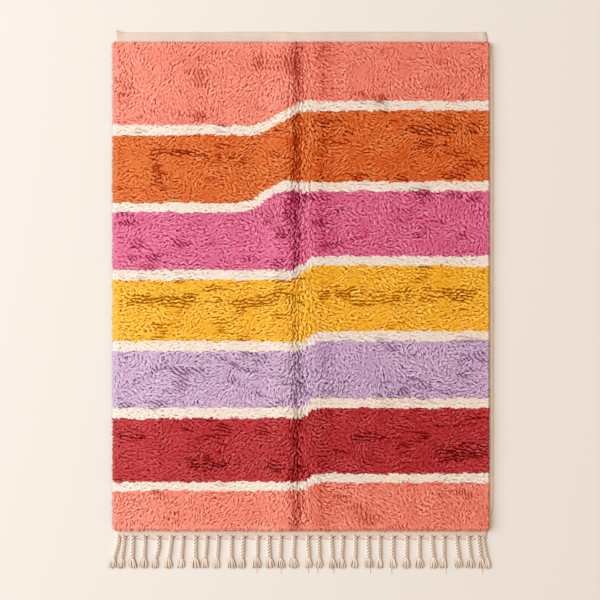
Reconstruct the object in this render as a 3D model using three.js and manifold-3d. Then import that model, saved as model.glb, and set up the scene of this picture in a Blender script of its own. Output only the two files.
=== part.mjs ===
// A Boujaad rug lying flat: thick wool pile in thirteen stripes on a woven ground, a plain woven
// strip at one end, and a fringe of plied cords with loose tassels at the other.
// Millimetres, +Z up. +Y points to the plain end, -Y to the fringe and +X to the right.

import * as THREE from 'three';
import { mergeVertices } from 'three/addons/utils/BufferGeometryUtils.js';
import Module from 'manifold-3d';

const wasm = await Module();
wasm.setup();

// Sizes of the whole rug
const PILE_WIDTH = 1500;
const PILE_LENGTH = 1942;
const PLAIN_END = 38;
const FRINGED_END = 26;
const CORD_LENGTH = 84;
const TASSEL_LENGTH = 42;
const GAP = 0.3;

// The woven ground
const GROUND_WIDTH = 1476;
const GROUND_THICKNESS = 4;
const GROUND_COLUMNS = 30;
const SELVAGE_WAVE = 3;
const CORNER_TIP = 8;
const CORNER_LIFT = 4;

// The pile
const PILE_TOP = 27;
const PILE_BASE = GROUND_THICKNESS + GAP;
const LUMP = 7;
const RIM_INSET = 8;
const RIM_WAVE = 5;
const SHOULDER = 17;
const BULGE = 5;
const BULGE_HEIGHT = 8;
const ROW_PITCH = 40;
const COLUMNS_EACH_SIDE = 18;
const CREASE_X = -8;
const CREASE_DEPTH = 7;
const CREASE_HALF_WIDTH = 24;
const PARTING_DEPTH = 5;
const PARTING_HALF_WIDTH = 20;

// Locks that stand out at the rim of the pile
const LOCK_SHARE = 0.85;
const LOCK_WIDTH = 20;
const LOCK_THICKNESS_SHARE = 0.8;
const LOCK_WIDEST_SHARE = 0.7;
const LOCK_REACH = 12;
const LOCK_REACH_CHANGE = 4;
const LOCK_SWAY = 0.5;
const LOCK_BEND_AT = 0.55;
const LOCK_BEND_SIZE = 0.8;
const LOCK_BEND_RISE = 1;
const LOCK_TIP_ON_FLOOR = 0.5;
const LOCK_TIP_ON_STRIP = GROUND_THICKNESS + 2;

// The fringe
const BACKING_DEPTH = 10;
const CORD_WIDTH = 14;
const CORD_HEIGHT = 12;
const CORD_TOP_SHARE = 0.6;
const CORD_ROOT_SIZE = 0.7;
const CORD_NECK_SIZE = 0.75;
const PLY_PITCH = 12;
const PLY_RELIEF = 1.6;
const TAIL_WIDTH = 10;
const TAIL_HEIGHT = 7;
const TAIL_FAN = 0.22;
const TAIL_CURL = 0.16;
const TAIL_OVERLAP = 6;
const TAIL_SPACING = 3;
const TAIL_LENGTH_CHANGE = 7;
const TAILS = 3;

// Levels along Y, with the middle of the pile at zero
const PILE_NORTH = PILE_LENGTH / 2;
const PILE_SOUTH = -PILE_LENGTH / 2;
const GROUND_NORTH = PILE_NORTH + PLAIN_END;
const BACKING_SOUTH = PILE_SOUTH - FRINGED_END;
const BACKING_NORTH = BACKING_SOUTH + BACKING_DEPTH;
const GROUND_SOUTH = BACKING_NORTH + GAP;
const CORD_END = BACKING_SOUTH - CORD_LENGTH;

// Yarn colours
const YARNS = {
  coral: '#e8806a',
  ivory: '#e9dcc6',
  orange: '#dc7038',
  pink: '#d4577f',
  yellow: '#e3a83c',
  lilac: '#bc9cb8',
  red: '#b8323c',
};

// The stripes, from the plain end to the fringe. `left` and `right` say how far from the pile's
// plain end each stripe runs at the two sides of the rug. Between `from` and `to` across the
// width its edge slants from the one to the other, where the weaver changed place.
const STRIPES = [
  { yarn: 'coral', left: 335, right: 240, from: -196, to: 34 },
  { yarn: 'ivory', left: 375, right: 278, from: -196, to: 34 },
  { yarn: 'orange', left: 644, right: 559, from: -244, to: -62 },
  { yarn: 'ivory', left: 682, right: 597, from: -244, to: -62 },
  { yarn: 'pink', left: 909, right: 854, from: -54, to: 65 },
  { yarn: 'ivory', left: 948, right: 892, from: -54, to: 65 },
  { yarn: 'yellow', left: 1191, right: 1152, from: -14, to: 65 },
  { yarn: 'ivory', left: 1232, right: 1191, from: -14, to: 65 },
  { yarn: 'lilac', left: 1454, right: 1417, from: -14, to: 58 },
  { yarn: 'ivory', left: 1496, right: 1456, from: -14, to: 58 },
  { yarn: 'red', left: 1747, right: 1716, from: -14, to: 65 },
  { yarn: 'ivory', left: 1784, right: 1750, from: -14, to: 65 },
  { yarn: 'coral', left: PILE_LENGTH, right: PILE_LENGTH, from: 0, to: 1 },
];

// Where the locks lie apart in a row across the rug: distance from the pile's plain end, and
// the stretch across the width
const PARTINGS = [
  { level: 357, from: 30, to: 204 },
  { level: 357, from: 423, to: 728 },
  { level: 452, from: -601, to: -85 },
  { level: 615, from: 482, to: 720 },
  { level: 1030, from: -712, to: -6 },
  { level: 1005, from: 65, to: 744 },
  { level: 1583, from: 196, to: 343 },
  { level: 1623, from: 522, to: 740 },
  { level: 1686, from: -442, to: -69 },
];

// The cords of the fringe, from left to right: where each leaves the woven end, and how far
// sideways its far end lies
const CORDS = [
  { root: -724, lean: -22 },
  { root: -705, lean: -9 },
  { root: -671, lean: -2 },
  { root: -623, lean: -2 },
  { root: -572, lean: -3 },
  { root: -519, lean: -11 },
  { root: -474, lean: -3 },
  { root: -423, lean: 2 },
  { root: -378, lean: -6 },
  { root: -332, lean: -5 },
  { root: -281, lean: 2 },
  { root: -231, lean: -7 },
  { root: -175, lean: -4 },
  { root: -132, lean: 5 },
  { root: -85, lean: -2 },
  { root: -31, lean: -2 },
  { root: 24, lean: 4 },
  { root: 66, lean: 3 },
  { root: 117, lean: 3 },
  { root: 161, lean: -3 },
  { root: 213, lean: -3 },
  { root: 262, lean: 3 },
  { root: 308, lean: 1 },
  { root: 361, lean: 1 },
  { root: 415, lean: 0 },
  { root: 465, lean: 0 },
  { root: 516, lean: 7 },
  { root: 562, lean: 1 },
  { root: 613, lean: 9 },
  { root: 661, lean: 8 },
  { root: 700, lean: 10 },
  { root: 721, lean: 15 },
];

// A number from 0 to 1 that looks random and is the same for the same pair of whole numbers
function scatter(i, j) {
  let h = Math.imul(i + 1013, 374761393) ^ Math.imul(j + 7919, 668265263);
  h = Math.imul(h ^ (h >>> 13), 1274126177);
  return ((h ^ (h >>> 16)) >>> 0) / 4294967295;
}

// The same, from -1 to 1
function sway(i, j) {
  return 2 * scatter(i, j) - 1;
}

function bell(distance, halfWidth) {
  return Math.exp(-((distance / halfWidth) ** 2));
}

function surface(colour) {
  return new THREE.MeshStandardMaterial({ color: colour, roughness: 1, metalness: 0 });
}

function indexedGeometry(points, triangles) {
  const geometry = new THREE.BufferGeometry();
  const positions = points.flatMap((point) => [point.x, point.y, point.z]);
  geometry.setAttribute('position', new THREE.Float32BufferAttribute(positions, 3));
  geometry.setIndex(triangles);
  return geometry;
}

function toSolid(geometry) {
  const plain = geometry.clone();
  plain.deleteAttribute('normal');
  plain.deleteAttribute('uv');
  const merged = mergeVertices(plain, 1e-4);
  return new wasm.Manifold(new wasm.Mesh({
    numProp: 3,
    vertProperties: new Float32Array(merged.attributes.position.array),
    triVerts: new Uint32Array(merged.index.array),
  }));
}

function toGeometry(solid) {
  const mesh = solid.getMesh();
  const geometry = new THREE.BufferGeometry();
  geometry.setAttribute('position', new THREE.BufferAttribute(mesh.vertProperties, 3));
  geometry.setIndex(new THREE.BufferAttribute(mesh.triVerts, 1));
  return geometry;
}

function fuse(body, pieces) {
  return pieces.reduce((whole, piece) => whole.add(toSolid(piece)), body);
}

// A closed strand through sections with the same number of corners. Seen from behind, with the
// strand running away, the corners of a section go round anticlockwise.
function strand(sections) {
  const sides = sections[0].length;
  const last = (sections.length - 1) * sides;
  const triangles = [];
  for (let start = 0; start < last; start += sides) {
    for (let c = 0; c < sides; c += 1) {
      const a = start + c;
      const b = start + (c + 1) % sides;
      triangles.push(a, b + sides, b, a, a + sides, b + sides);
    }
  }
  for (let c = 1; c + 1 < sides; c += 1) {
    triangles.push(0, c, c + 1, last, last + c + 1, last + c);
  }
  return indexedGeometry(sections.flat(), triangles);
}

// A three-sided section that lies level on the floor, square to the way the strand runs
function tailSection(centre, heading, width, height) {
  const right = new THREE.Vector3(Math.sin(heading), -Math.cos(heading), 0);
  return [
    centre.clone().addScaledVector(right, -width / 2),
    centre.clone().addScaledVector(right, width / 2),
    centre.clone().add(new THREE.Vector3(0, 0, height)),
  ];
}

// The woven ground: a sheet on rows of points that run from left to right
function makeGround() {
  const half = GROUND_WIDTH / 2;
  const levels = [GROUND_SOUTH, PILE_SOUTH, PILE_NORTH, PILE_NORTH + PLAIN_END / 2, GROUND_NORTH];
  const lowest = [];
  levels.forEach((level, row) => {
    const endRow = row === levels.length - 1;
    for (let column = 0; column <= GROUND_COLUMNS; column += 1) {
      const x = -half + (GROUND_WIDTH * column) / GROUND_COLUMNS;
      const corner = endRow && column === 0;
      const wave = endRow && !corner ? SELVAGE_WAVE * sway(column, row) : 0;
      lowest.push(new THREE.Vector3(
        x,
        level + wave + (corner ? CORNER_TIP : 0),
        corner ? CORNER_LIFT : 0,
      ));
    }
  });
  const up = new THREE.Vector3(0, 0, GROUND_THICKNESS);
  const points = [...lowest, ...lowest.map((point) => point.clone().add(up))];
  const wide = GROUND_COLUMNS + 1;
  const rows = levels.length - 1;
  const above = lowest.length;
  const triangles = [];
  for (let row = 0; row < rows; row += 1) {
    for (let column = 0; column < GROUND_COLUMNS; column += 1) {
      const a = row * wide + column;
      const b = a + 1;
      const c = b + wide;
      const d = a + wide;
      triangles.push(above + a, above + b, above + c, above + a, above + c, above + d);
      triangles.push(a, c, b, a, d, c);
    }
  }
  const rim = gridRim(GROUND_COLUMNS, rows);
  rim.forEach((from, k) => {
    const to = rim[(k + 1) % rim.length];
    triangles.push(from, to, above + to, from, above + to, above + from);
  });
  return indexedGeometry(points, triangles);
}

// The numbers of a grid's outermost points, anticlockwise from its first point, for a grid of
// points that are numbered row by row
function gridRim(columns, rows) {
  const wide = columns + 1;
  const rim = [];
  for (let c = 0; c < columns; c += 1) rim.push(c);
  for (let r = 0; r < rows; r += 1) rim.push(r * wide + columns);
  for (let c = columns; c > 0; c -= 1) rim.push(rows * wide + c);
  for (let r = rows; r > 0; r -= 1) rim.push(r * wide);
  return rim;
}

// How far from the pile's plain end a stripe runs, at one place across the width
function stripeEnd(stripe, x) {
  const along = THREE.MathUtils.smoothstep(x, stripe.from, stripe.to);
  return THREE.MathUtils.lerp(stripe.left, stripe.right, along);
}

// The pile's columns of points: even on both sides of the lengthwise crease, with one in it
function pileColumns() {
  const edge = PILE_WIDTH / 2;
  const beside = CREASE_HALF_WIDTH;
  const columns = [];
  for (let k = 0; k <= COLUMNS_EACH_SIDE; k += 1) {
    const t = k / COLUMNS_EACH_SIDE;
    columns.push(THREE.MathUtils.lerp(-edge, CREASE_X - beside, t));
    columns.push(THREE.MathUtils.lerp(CREASE_X + beside, edge, t));
  }
  columns.push(CREASE_X);
  return columns.sort((a, b) => a - b);
}

// The pile's rows of points, as functions of x: they follow the edges of the stripes
function pileRows() {
  const rows = [() => 0];
  let start = () => 0;
  for (const stripe of STRIPES) {
    const from = start;
    const end = (x) => stripeEnd(stripe, x);
    const length = end(PILE_WIDTH / 2) - from(PILE_WIDTH / 2);
    const count = Math.max(1, Math.round(length / ROW_PITCH));
    for (let k = 1; k <= count; k += 1) {
      rows.push((x) => THREE.MathUtils.lerp(from(x), end(x), k / count));
    }
    start = end;
  }
  return rows;
}

function pileHeight(x, level, column, row) {
  let height = PILE_TOP - LUMP * scatter(column, row);
  height -= CREASE_DEPTH * bell(x - CREASE_X, CREASE_HALF_WIDTH);
  for (const parting of PARTINGS) {
    if (x > parting.from && x < parting.to) {
      height -= PARTING_DEPTH * bell(level - parting.level, PARTING_HALF_WIDTH);
    }
  }
  return height;
}

// The pile: a lumpy grid of points on top, a bulging side set with locks and a flat underside
function makePile() {
  const columns = pileColumns();
  const rows = pileRows().reverse();
  const lastColumn = columns.length - 1;
  const lastRow = rows.length - 1;
  const points = [];
  rows.forEach((levelAt, row) => {
    columns.forEach((x, column) => {
      const level = levelAt(x);
      const sideRim = column === 0 || column === lastColumn;
      const endRim = row === 0 || row === lastRow;
      const point = new THREE.Vector3(x, PILE_NORTH - level, pileHeight(x, level, column, row));
      if (sideRim) point.x -= RIM_INSET * Math.sign(x) + RIM_WAVE * sway(row, column);
      if (endRim) point.y -= RIM_INSET * Math.sign(point.y) + RIM_WAVE * sway(column, row);
      if (sideRim || endRim) point.z = SHOULDER + (LUMP / 2) * sway(row + column, row);
      points.push(point);
    });
  });
  const wide = columns.length;
  const triangles = [];
  for (let row = 0; row < lastRow; row += 1) {
    for (let column = 0; column < lastColumn; column += 1) {
      const a = row * wide + column;
      triangles.push(a, a + 1, a + 1 + wide, a, a + 1 + wide, a + wide);
    }
  }
  const shoulder = gridRim(lastColumn, lastRow);
  const bulge = addRing(points, shoulder, BULGE, BULGE_HEIGHT);
  const base = addRing(points, shoulder, 0, PILE_BASE);
  bulge.forEach((_, k) => {
    if (scatter(k, 10) < LOCK_SHARE) addRimLock(points, triangles, bulge, shoulder, k);
    else joinRings(triangles, bulge, shoulder, k);
  });
  base.forEach((_, k) => joinRings(triangles, base, bulge, k));
  const outline = base.map((n) => new THREE.Vector2(points[n].x, points[n].y));
  for (const [a, b, c] of THREE.ShapeUtils.triangulateShape(outline, [])) {
    triangles.push(base[a], base[c], base[b]);
  }
  return colourStripes(indexedGeometry(points, triangles));
}

// The way out of the pile, square to the nearer side
function outwardAt(point) {
  const side = Math.abs(point.x) / PILE_WIDTH > Math.abs(point.y) / PILE_LENGTH;
  if (side) return new THREE.Vector3(Math.sign(point.x), 0, 0);
  return new THREE.Vector3(0, Math.sign(point.y), 0);
}

// Adds a ring of points at one height, level with the given ring or pushed out from it
function addRing(points, ring, push, height) {
  const first = points.length;
  for (const n of ring) {
    points.push(points[n].clone().addScaledVector(outwardAt(points[n]), push).setZ(height));
  }
  return ring.map((_, k) => first + k);
}

// The two triangles between two rings at their step number k
function joinRings(triangles, lower, upper, k) {
  const next = (k + 1) % lower.length;
  triangles.push(lower[k], lower[next], upper[next], lower[k], upper[next], upper[k]);
}

// One four-sided lock that grows out of the side between two rings, at their step number k. It
// lies over to one side and comes down at its tip, at an end of the rug onto the woven strip.
function addRimLock(points, triangles, lower, upper, k) {
  const next = (k + 1) % lower.length;
  const frame = [lower[k], lower[next], upper[next], upper[k]];
  const centre = new THREE.Vector3();
  frame.forEach((n) => centre.addScaledVector(points[n], 0.25));
  const outward = outwardAt(centre);
  const alongRim = new THREE.Vector3(-outward.y, outward.x, 0);
  const reach = LOCK_REACH + LOCK_REACH_CHANGE * sway(k, 12);
  const way = outward.clone().addScaledVector(alongRim, LOCK_SWAY * sway(k, 11));
  const tipHeight = outward.x === 0 ? LOCK_TIP_ON_STRIP : LOCK_TIP_ON_FLOOR;
  const gapWidth = points[lower[next]].distanceTo(points[lower[k]]);
  const narrow = Math.min(LOCK_WIDEST_SHARE, LOCK_WIDTH / gapWidth);
  const ring = (step, size, height) => {
    const first = points.length;
    for (const n of frame) {
      const offset = points[n].clone().sub(centre);
      const sideways = alongRim.clone().multiplyScalar(offset.dot(alongRim) * narrow * size);
      const corner = centre.clone().addScaledVector(way, step).add(sideways);
      points.push(corner.setZ(height + LOCK_THICKNESS_SHARE * offset.z * size));
    }
    return frame.map((_, c) => first + c);
  };
  const root = ring(0, 1, centre.z);
  const bendHeight = (centre.z + tipHeight) / 2 + LOCK_BEND_RISE;
  const middle = ring(LOCK_BEND_AT * reach, LOCK_BEND_SIZE, bendHeight);
  const tip = points.push(centre.clone().addScaledVector(way, reach).setZ(tipHeight)) - 1;
  for (let c = 0; c < 4; c += 1) {
    const d = (c + 1) % 4;
    triangles.push(frame[c], frame[d], root[d], frame[c], root[d], root[c]);
    triangles.push(root[c], root[d], middle[d], root[c], middle[d], middle[c]);
    triangles.push(middle[c], middle[d], tip);
  }
}

// Gives each triangle of the pile the colour of the stripe it lies in
function colourStripes(geometry) {
  const loose = geometry.toNonIndexed();
  const position = loose.attributes.position;
  const colours = new Float32Array(position.count * 3);
  for (let n = 0; n < position.count; n += 3) {
    const x = (position.getX(n) + position.getX(n + 1) + position.getX(n + 2)) / 3;
    const y = (position.getY(n) + position.getY(n + 1) + position.getY(n + 2)) / 3;
    const last = STRIPES[STRIPES.length - 1];
    const stripe = STRIPES.find((s) => PILE_NORTH - y < stripeEnd(s, x)) ?? last;
    const colour = new THREE.Color(YARNS[stripe.yarn]);
    for (let k = 0; k < 3; k += 1) colour.toArray(colours, 3 * (n + k));
  }
  loose.setAttribute('color', new THREE.BufferAttribute(colours, 3));
  return loose;
}

// One plied cord: its high and low corners change sides at every half ply
function makeCord(cord) {
  const steps = 2 * Math.round(CORD_LENGTH / PLY_PITCH);
  const sections = [];
  for (let s = 0; s <= steps; s += 1) {
    const t = s / steps;
    const taper = Math.min(1, CORD_ROOT_SIZE + 2 * t, CORD_NECK_SIZE + 4 * (1 - t));
    const ply = PLY_RELIEF * (s % 2 ? 1 : -1);
    const x = cord.root + cord.lean * t * t;
    const y = THREE.MathUtils.lerp(BACKING_SOUTH + BACKING_DEPTH / 2, CORD_END, t);
    const half = (CORD_WIDTH / 2) * taper;
    const top = half * CORD_TOP_SHARE;
    const height = CORD_HEIGHT * taper;
    sections.push([
      new THREE.Vector3(x + half - ply, y, 0),
      new THREE.Vector3(x - half - ply, y, 0),
      new THREE.Vector3(x - top - ply, y, height + ply),
      new THREE.Vector3(x + top - ply, y, height - ply),
    ]);
  }
  return strand(sections);
}

// The loose tails of one cord's tassel: they fan out and lie level on the floor
function makeTails(cord, number) {
  const start = new THREE.Vector3(cord.root + cord.lean, CORD_END + TAIL_OVERLAP, 0);
  return Array.from({ length: TAILS }, (_, k) => {
    const spread = k - (TAILS - 1) / 2;
    let heading = -Math.PI / 2 + TAIL_FAN * spread + 0.1 * sway(number, k);
    const curl = TAIL_CURL * sway(number, k + 20);
    const shorter = TAIL_LENGTH_CHANGE * scatter(number, k + 40);
    const length = TASSEL_LENGTH + TAIL_OVERLAP - shorter;
    const centre = start.clone();
    centre.x += spread * TAIL_SPACING;
    const sections = [tailSection(centre, heading, TAIL_WIDTH, TAIL_HEIGHT)];
    for (const taper of [0.85, 0.35]) {
      heading += curl;
      centre.x += (Math.cos(heading) * length) / 2;
      centre.y += (Math.sin(heading) * length) / 2;
      sections.push(tailSection(centre, heading, TAIL_WIDTH * taper, TAIL_HEIGHT * taper));
    }
    return strand(sections);
  });
}

function makeFringe() {
  const width = GROUND_WIDTH - 4;
  const strip = new THREE.BoxGeometry(width, BACKING_DEPTH, GROUND_THICKNESS);
  strip.translate(0, (BACKING_NORTH + BACKING_SOUTH) / 2, GROUND_THICKNESS / 2);
  const cords = CORDS.map(makeCord);
  const tails = CORDS.flatMap(makeTails);
  return toGeometry(fuse(toSolid(strip), [...cords, ...tails]));
}

function named(name, geometry, material) {
  geometry.computeVertexNormals();
  const mesh = new THREE.Mesh(geometry, material);
  mesh.name = name;
  return mesh;
}

const pileSurface = surface('#ffffff');
pileSurface.vertexColors = true;

const rug = new THREE.Group();
rug.add(named('ground', makeGround(), surface('#cdb592')));
rug.add(named('pile', makePile(), pileSurface));
rug.add(named('fringe', makeFringe(), surface('#cfb28c')));

// The origin is under the middle of the whole rug, on the floor
const reach = new THREE.Box3().setFromObject(rug);
const middle = reach.getCenter(new THREE.Vector3());
rug.position.set(-middle.x, -middle.y, -reach.min.z);
rug.updateMatrixWorld(true);

export default rug;
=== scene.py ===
# A Boujaad rug seen from straight above: thousands of wool locks in thirteen stripes on a woven
# ground, with a plain woven end and a fringe of plied cords with loose tassels.
import math
import bpy
import numpy as np
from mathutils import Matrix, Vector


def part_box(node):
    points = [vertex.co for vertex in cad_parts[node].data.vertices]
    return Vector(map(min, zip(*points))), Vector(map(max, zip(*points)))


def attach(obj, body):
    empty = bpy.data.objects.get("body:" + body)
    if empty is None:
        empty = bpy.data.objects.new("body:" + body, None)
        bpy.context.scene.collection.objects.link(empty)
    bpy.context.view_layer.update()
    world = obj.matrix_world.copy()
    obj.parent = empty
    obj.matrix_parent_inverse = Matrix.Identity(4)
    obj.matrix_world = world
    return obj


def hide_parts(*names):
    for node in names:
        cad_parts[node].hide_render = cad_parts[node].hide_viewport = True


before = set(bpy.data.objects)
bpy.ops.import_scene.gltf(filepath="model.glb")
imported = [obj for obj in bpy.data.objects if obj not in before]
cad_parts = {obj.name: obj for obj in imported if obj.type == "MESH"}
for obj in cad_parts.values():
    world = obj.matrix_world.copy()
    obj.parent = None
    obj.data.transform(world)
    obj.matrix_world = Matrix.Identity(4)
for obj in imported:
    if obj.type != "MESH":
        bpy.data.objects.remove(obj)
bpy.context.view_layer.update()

MM = 0.001

# Sizes that the woven parts and the pile share with the solids, in metres
PILE_WIDTH = 1500 * MM
PILE_LENGTH = 1942 * MM
PLAIN_END = 38 * MM
FRINGED_END = 26 * MM
CORNER_TIP = 8 * MM
GROUND_THICKNESS = 4 * MM
PILE_TOP = 27 * MM
CORD_LENGTH = 84 * MM
TASSEL_LENGTH = 42 * MM

# Where the rug lies, by the ground's box
ground_low, ground_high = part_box("ground")
CENTRE_X = (ground_low.x + ground_high.x) / 2
GROUND_WIDTH = ground_high.x - ground_low.x
PILE_NORTH = ground_high.y - PLAIN_END - CORNER_TIP
PILE_SOUTH = PILE_NORTH - PILE_LENGTH
PILE_MIDDLE = (PILE_NORTH + PILE_SOUTH) / 2
GROUND_NORTH = PILE_NORTH + PLAIN_END
GROUND_SOUTH = PILE_SOUTH - FRINGED_END
CORD_END = GROUND_SOUTH - CORD_LENGTH

# The photo's frame: its scale, and the pixel where the middle of the pile shows
PHOTO_PIXELS = 600
METRES_PER_PIXEL = PILE_WIDTH / 378
PILE_MIDDLE_PIXEL = (301.5, 285.65)

# The yarns: colour as linear red, green and blue, relief for how strongly wrinkles show, in height
# and in painted shade, less in pale wool as it passes light into its hollows, creasing for how
# strongly the shade painted in the crease and its furrows shows, and across for the share of the
# wrinkles that run across the rug rather than along it
YARNS = {
    "coral": dict(colour=(0.804, 0.242, 0.179), relief=0.66, creasing=1.05, across=0.15),
    "ivory": dict(colour=(0.824, 0.712, 0.629), relief=0.36, creasing=0.45, across=0.8),
    "orange": dict(colour=(0.66, 0.145, 0.034), relief=0.85, creasing=1.2, across=0.8),
    "pink": dict(colour=(0.678, 0.142, 0.272), relief=0.9, creasing=1.45, across=0.5),
    "yellow": dict(colour=(0.85, 0.437, 0.038), relief=0.95, creasing=0.5, across=1.0),
    "lilac": dict(colour=(0.563, 0.387, 0.56), relief=0.9, creasing=0.95, across=0.5),
    "red": dict(colour=(0.46, 0.038, 0.043), relief=0.75, creasing=0.9, across=0.85),
}

# The stripes from the plain end to the fringe, in millimetres. left and right say how far from
# the pile's plain end each runs at the two sides, and its edge slants from the one to the other
# between start and stop across the width. lie is the way the locks lie on the left half, in
# degrees from the right, and swirl how far they stray from it.
STRIPE_VALUES = ("yarn", "left", "right", "start", "stop", "lie", "swirl")
STRIPE_ROWS = [
    ("coral", 335, 240, -196, 34, 245, 60),
    ("ivory", 375, 278, -196, 34, 195, 30),
    ("orange", 644, 559, -244, -62, 190, 65),
    ("ivory", 682, 597, -244, -62, 190, 30),
    ("pink", 909, 854, -54, 65, 220, 95),
    ("ivory", 948, 892, -54, 65, 190, 30),
    ("yellow", 1191, 1152, -14, 65, 185, 45),
    ("ivory", 1232, 1191, -14, 65, 190, 30),
    ("lilac", 1454, 1417, -14, 58, 235, 95),
    ("ivory", 1496, 1456, -14, 58, 190, 30),
    ("red", 1747, 1716, -14, 65, 195, 60),
    ("ivory", 1784, 1750, -14, 65, 195, 30),
    ("coral", 1942, 1942, 0, 1, 240, 55),
]
STRIPES = [dict(zip(STRIPE_VALUES, row), **YARNS[row[0]]) for row in STRIPE_ROWS]

# Rows across the rug where the locks lie apart, in millimetres: distance from the pile's plain
# end, start and stop across the width, and how deep the parting is
PARTINGS = [
    (357, 30, 204, 5), (357, 423, 728, 5), (452, -601, -85, 4), (615, 482, 720, 5),
    (1030, -712, -6, 5), (992, 65, 744, 5), (1018, 153, 669, 5), (1583, 196, 343, 4),
    (1611, 522, 740, 5), (1636, 522, 740, 5), (1686, -442, -69, 5),
]

# The lengthwise crease where the rug was folded
CREASE_X = -8 * MM
CREASE_DEPTH = 4.5 * MM
CREASE_HALF_WIDTH = 26 * MM

# The furrows that run along the crease: distance from it and half width in millimetres, and
# depth from 0, none, to 1
FURROWS = [
    (-46, 3, 0.3), (-30, 3, 0.55), (-16, 3.5, 0.95), (-3, 4, 1.1), (10, 3, 0.75),
    (24, 3, 0.35), (40, 3, 0.3), (92, 3, 0.4),
]

# The pile leans to the light left of the crease and away from it on the right, painted into its
# colour as shade on the right and as light on the left, most along its left edge. Given as the
# furrows are.
LEAN_SHADE = 0.24
LEAN_FADE = 60 * MM
SHADED_BANDS = [(-640, 130, -0.25), (-115, 45, -0.2), (500, 240, 0.1)]

# Painted shade in the crease, a painted highlight on the ridge beside it and painted shade in the
# second, shallower hollow, likewise
CREASE_BANDS = [(-12, 21, 0.95), (40, 20, -0.15), (100, 40, 0.42)]

# The cords of the fringe from left to right, in millimetres: where each leaves the woven end and
# how far sideways its far end lies. One bows to the side, and the last is thinner than the others.
CORD_PLACES = [
    (-724, -22), (-705, -9), (-671, -2), (-623, -2), (-571, -11), (-516, -12), (-474, -3),
    (-423, 2), (-378, -6), (-332, -5), (-281, 2), (-231, -7), (-175, -4), (-132, 5), (-85, -2),
    (-31, -2), (24, 4), (66, 3), (117, 3), (161, -3), (213, -3), (262, 3), (308, 1), (361, 1),
    (415, 0), (465, 0), (516, 7), (562, 1), (613, 9), (661, 8), (700, 10), (721, 15),
]
CORDS = [dict(root=root, lean=lean) for root, lean in CORD_PLACES]
CORDS[4]["bow"] = 7
CORDS[-1]["size"] = 0.7


# Noise and small helpers

LATTICE = 512
LATTICE_SHIFT = 200


def between(grid, i, right, j, above, s, t):
    """A value blended from the four round it, by how far it lies from the first: s and t."""
    near = grid[i, j] * (1 - s) + grid[right, j] * s
    far = grid[i, above] * (1 - s) + grid[right, above] * s
    return near * (1 - t) + far * t


def noise(u, v, seed):
    """Smooth noise from -1 to 1 over the plane, with bumps about one unit wide."""
    lattice = np.random.default_rng(seed).uniform(-1, 1, (LATTICE, LATTICE))
    u = np.asarray(u) + LATTICE_SHIFT
    v = np.asarray(v) + LATTICE_SHIFT
    i = np.floor(u).astype(int)
    j = np.floor(v).astype(int)
    s = (u - i) ** 2 * (3 - 2 * (u - i))
    t = (v - j) ** 2 * (3 - 2 * (v - j))
    i, right, j, above = [k % LATTICE for k in (i, i + 1, j, j + 1)]
    return between(lattice, i, right, j, above, s, t)


def swells(x, y, across, along, seed):
    """Noise over the rug, with bumps of this many millimetres across and along it."""
    return noise(x / (across * MM), y / (along * MM), seed)


def waver(x, length, line, seed):
    """Noise along a numbered line, with a bump about every so many millimetres."""
    return noise(x / (length * MM), line, seed)


def smoothstep(x, start, stop):
    t = np.clip((x - start) / (stop - start), 0, 1)
    return t * t * (3 - 2 * t)


def bell(distance, half_width):
    return np.exp(-((distance / half_width) ** 2))


def grid_quads(rows, columns):
    """The numbers of a grid's points, row by row, and the four corners of each of its cells."""
    number = np.arange(rows * columns).reshape(rows, columns)
    corners = [number[:-1, :-1], number[:-1, 1:], number[1:, 1:], number[1:, :-1]]
    return number, np.stack([corner.ravel() for corner in corners], 1)


def mesh_object(name, points, faces, uv=None):
    """A mesh from arrays of points and of faces, with a place in the texture for each corner."""
    mesh = bpy.data.meshes.new(name)
    sides = faces.shape[1]
    mesh.vertices.add(len(points))
    mesh.vertices.foreach_set("co", np.asarray(points, np.float32).ravel())
    mesh.loops.add(faces.size)
    mesh.loops.foreach_set("vertex_index", faces.astype(np.int32).ravel())
    mesh.polygons.add(len(faces))
    mesh.polygons.foreach_set("loop_start", np.arange(0, faces.size, sides, dtype=np.int32))
    mesh.polygons.foreach_set("loop_total", np.full(len(faces), sides, np.int32))
    mesh.polygons.foreach_set("use_smooth", np.full(len(faces), True))
    mesh.update(calc_edges=True)
    if uv is not None:
        layer = mesh.uv_layers.new(name="OFBake")
        layer.data.foreach_set("uv", np.asarray(uv, np.float32).ravel())
    piece = bpy.data.objects.new(name, mesh)
    bpy.context.scene.collection.objects.link(piece)
    return piece


CELL_MARGIN = 0.06


def in_cell(uv, number, wide):
    """Texture places drawn into one cell, by its number, of a texture so many cells wide."""
    corner = np.stack([number % wide, number // wide], -1) + CELL_MARGIN
    return (corner + (1 - 2 * CELL_MARGIN) * uv) / wide


def paint(piece, colours):
    """Stores one colour a point, for the wool's material to read."""
    attribute = piece.data.color_attributes.new("wool", "FLOAT_COLOR", "POINT")
    rgba = np.ones((len(colours), 4), np.float32)
    rgba[:, :3] = np.clip(colours, 0, 1)
    attribute.data.foreach_set("color", rgba.ravel())


# How strongly depth deepens a colour into painted shade, and pales it into a painted highlight
HOLLOW_STRENGTH = 0.38
HOLLOW_FALL = 0.17
BACK_STRENGTH = 0.3
BACK_FALL = 0.2


def painted_light_and_shade(yarn, depth):
    """Painted shade and light on a yarn's colour: deeper where depth is above 0, as down in the
    pile, where light reaches it only off other wool of its colour, and paler than the yarn, a
    painted highlight on the backs of the locks, where depth is below 0."""
    strength = np.where(depth > 0, HOLLOW_STRENGTH, BACK_STRENGTH)
    fall = np.where(depth > 0, HOLLOW_FALL, BACK_FALL)
    return yarn ** (1 + strength * depth) * (1 - fall * depth)


# Stripes, height and lie of the pile, over arrays of places. x is measured from the rug's middle
# and level from the pile's plain end, both in metres.

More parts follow.
